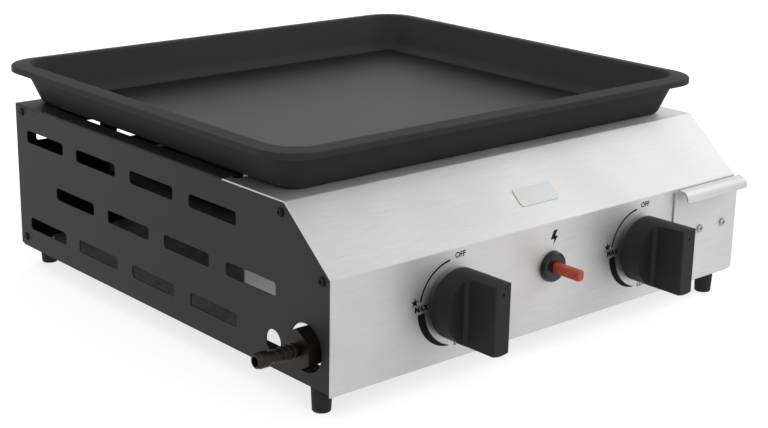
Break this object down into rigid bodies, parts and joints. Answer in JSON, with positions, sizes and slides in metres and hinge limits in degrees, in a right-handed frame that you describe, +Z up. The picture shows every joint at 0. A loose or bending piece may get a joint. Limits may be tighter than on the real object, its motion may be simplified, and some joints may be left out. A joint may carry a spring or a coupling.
{
  "type": "portable gas griddle",
  "caption": "Tabletop gas griddle: slotted black casing, brushed front with turn knobs and igniter, lift-off non-stick plate, grease drawer and side hose inlet.",
  "frame": {"origin": "middle of the whole object's footprint, on the surface that the feet stand on", "axes": "+Z up, -Y to the front with the knobs, +X to the right seen from the front"},
  "size_m": [0.5326, 0.5408, 0.1963],
  "materials": {
    "stainless": "brushed stainless sheet, fine lines across the width",
    "black_coat": "satin black powder coat on steel sheet",
    "nonstick": "matt black non-stick coat on cast aluminium",
    "knob_plastic": "moulded black phenolic, satin",
    "button_red": "moulded orange-red plastic, satin gloss",
    "bezel_black": "moulded black nylon, semi-gloss",
    "black_fitting": "blackened brass hose fitting",
    "rubber_black": "moulded black rubber, matt",
    "screw_black": "black oxide steel screws",
    "screw_zinc": "bright zinc plated steel",
    "brass": "machined brass",
    "burner_steel": "steel tube, dark heat scale",
    "galvanised": "galvanised steel sheet",
    "spring_steel": "spring wire",
    "ceramic_white": "white glazed insulator, smooth",
    "lead_silicone": "silicone-sheathed lead",
    "badge_silver": "blank printed aluminium foil plate"
  },
  "bodies": {
    "casing": {"front_panel": "stainless", "left_side_panel": "black_coat", "right_side_panel": "black_coat", "back_panel": "black_coat", "base_plate": "galvanised", "panel_screws": "screw_black", "front_left_foot": "rubber_black", "front_right_foot": "rubber_black", "back_left_foot": "rubber_black", "back_right_foot": "rubber_black", "foot_screws": "screw_zinc", "gas_manifold": "galvanised", "manifold_bracket": "black_coat", "hose_nozzle": "black_fitting", "inlet_nut": "black_fitting", "burner_screws": "screw_zinc", "igniter_housing": "bezel_black", "igniter_bezel": "bezel_black", "badge_plate": "badge_silver", "left_drawer_runner": "galvanised", "right_drawer_runner": "galvanised", "left_valve_body": "brass", "right_valve_body": "brass", "left_jet": "brass", "right_jet": "brass", "left_burner": "burner_steel", "right_burner": "burner_steel", "left_air_shutter": "galvanised", "right_air_shutter": "galvanised", "left_burner_bracket": "galvanised", "right_burner_bracket": "galvanised", "left_igniter_lead": "lead_silicone", "right_igniter_lead": "lead_silicone", "left_insulator": "ceramic_white", "right_insulator": "ceramic_white", "left_electrode": "spring_steel", "right_electrode": "spring_steel", "left_electrode_bracket": "galvanised", "right_electrode_bracket": "galvanised"},
    "griddle": {"griddle_plate": "nonstick", "griddle_rim": "nonstick"},
    "drawer": {"drawer_front": "stainless", "grease_tray": "galvanised", "drawer_screws": "screw_zinc"},
    "left_plug": {"left_valve_plug": "brass", "left_spindle_spring": "spring_steel"},
    "left_dial": {"left_knob": "knob_plastic", "left_spindle": "galvanised"},
    "right_plug": {"right_valve_plug": "brass", "right_spindle_spring": "spring_steel"},
    "right_dial": {"right_knob": "knob_plastic", "right_spindle": "galvanised"},
    "igniter_push": {"igniter_button": "button_red", "igniter_spring": "spring_steel"}
  },
  "joints": [
    {"name": "griddle_lift", "type": "slide", "parent": "casing", "child": "griddle", "axis": [0, 0, 1], "range_m": [0, 0.12]},
    {"name": "drawer_slide", "type": "slide", "parent": "casing", "child": "drawer", "axis": [0, -1, 0], "range_m": [0, 0.115]},
    {"name": "left_valve_turn", "type": "hinge", "parent": "casing", "child": "left_plug", "pos_m": [-0.09715, -0.21495, 0.0686], "axis": [0, -1, 0], "range_deg": [0, 180]},
    {"name": "left_knob_push", "type": "slide", "parent": "left_plug", "child": "left_dial", "axis": [0, 1, 0], "range_m": [0, 0.003], "stiffness_N_per_m": 900, "deforming": ["left_spindle_spring"]},
    {"name": "right_valve_turn", "type": "hinge", "parent": "casing", "child": "right_plug", "pos_m": [0.12605, -0.21495, 0.0686], "axis": [0, -1, 0], "range_deg": [0, 180]},
    {"name": "right_knob_push", "type": "slide", "parent": "right_plug", "child": "right_dial", "axis": [0, 1, 0], "range_m": [0, 0.003], "stiffness_N_per_m": 900, "deforming": ["right_spindle_spring"]},
    {"name": "igniter_press", "type": "slide", "parent": "casing", "child": "igniter_push", "axis": [0, 1, 0], "range_m": [0, 0.008], "stiffness_N_per_m": 900, "deforming": ["igniter_spring"]}
  ]
}
